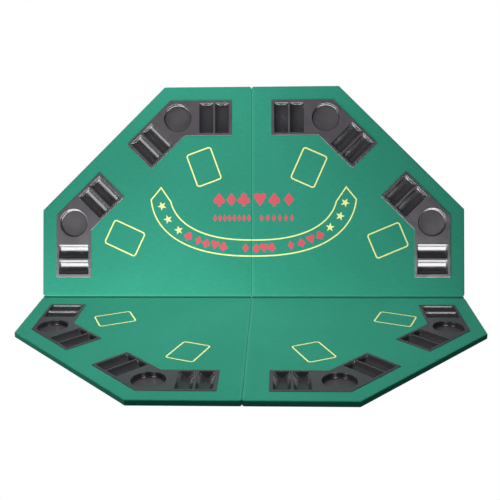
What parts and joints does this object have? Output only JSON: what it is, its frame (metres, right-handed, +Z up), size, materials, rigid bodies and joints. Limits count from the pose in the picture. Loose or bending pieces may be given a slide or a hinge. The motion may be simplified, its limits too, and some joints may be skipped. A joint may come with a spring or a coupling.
{
  "type": "folding poker table top",
  "caption": "Octagonal folding card table top, felt over board, with corner trays for cups and chips; one half is raised about the long seam.",
  "frame": {"origin": "on the surface that the front half rests on, under the middle of the whole object's outline box", "axes": "+X to the right along the long seam, +Y from the flat front half towards the raised rear half, +Z up"},
  "size_m": [1.22, 0.8144, 0.5956],
  "materials": {
    "board": "sanded fibreboard",
    "foam": "soft foam",
    "felt": "green brushed felt",
    "chip_tray": "satin black moulded plastic",
    "seam_tape": "dark woven cloth tape",
    "hinge_leaf": "zinc-plated steel",
    "hinge_pin": "drawn steel",
    "hinge_screws": "zinc-plated steel"
  },
  "bodies": {
    "front_left": {"board_front_left": "board", "foam_front_left": "foam", "felt_front_left": "felt", "chip_tray_front_left_side": "chip_tray", "chip_tray_front_left_end": "chip_tray", "seam_tape_left": "seam_tape"},
    "front_right": {"board_front_right": "board", "foam_front_right": "foam", "felt_front_right": "felt", "chip_tray_front_right_side": "chip_tray", "chip_tray_front_right_end": "chip_tray", "seam_tape_right": "seam_tape"},
    "rear_left": {"board_rear_left": "board", "foam_rear_left": "foam", "felt_rear_left": "felt", "chip_tray_rear_left_side": "chip_tray", "chip_tray_rear_left_end": "chip_tray", "back_hinge_lower_left_leaf": "hinge_leaf", "back_hinge_lower_pin": "hinge_pin", "back_hinge_upper_left_leaf": "hinge_leaf", "back_hinge_upper_pin": "hinge_pin", "hinge_screws_left": "hinge_screws"},
    "rear_right": {"board_rear_right": "board", "foam_rear_right": "foam", "felt_rear_right": "felt", "chip_tray_rear_right_side": "chip_tray", "chip_tray_rear_right_end": "chip_tray", "back_hinge_lower_right_leaf": "hinge_leaf", "back_hinge_upper_right_leaf": "hinge_leaf", "hinge_screws_right": "hinge_screws"}
  },
  "joints": [
    {"name": "long_seam_left", "type": "hinge", "parent": "front_left", "child": "rear_left", "pos_m": [-0.305, 0.20281, 0.0167], "axis": [1, 0, 0], "range_deg": [-72, 108]},
    {"name": "rear_short_seam", "type": "hinge", "parent": "rear_left", "child": "rear_right", "pos_m": [0, 0.31527, 0.30085], "axis": [0, 0.309, 0.9511], "range_deg": [0, 180]},
    {"name": "long_seam_right", "type": "hinge", "parent": "rear_right", "child": "front_right", "pos_m": [0.305, 0.20281, 0.0167], "axis": [1, 0, 0], "range_deg": [-108, 72]}
  ],
  "couplings": [
    {"joint": "long_seam_right", "follows": "long_seam_left", "ratio": -1}
  ]
}
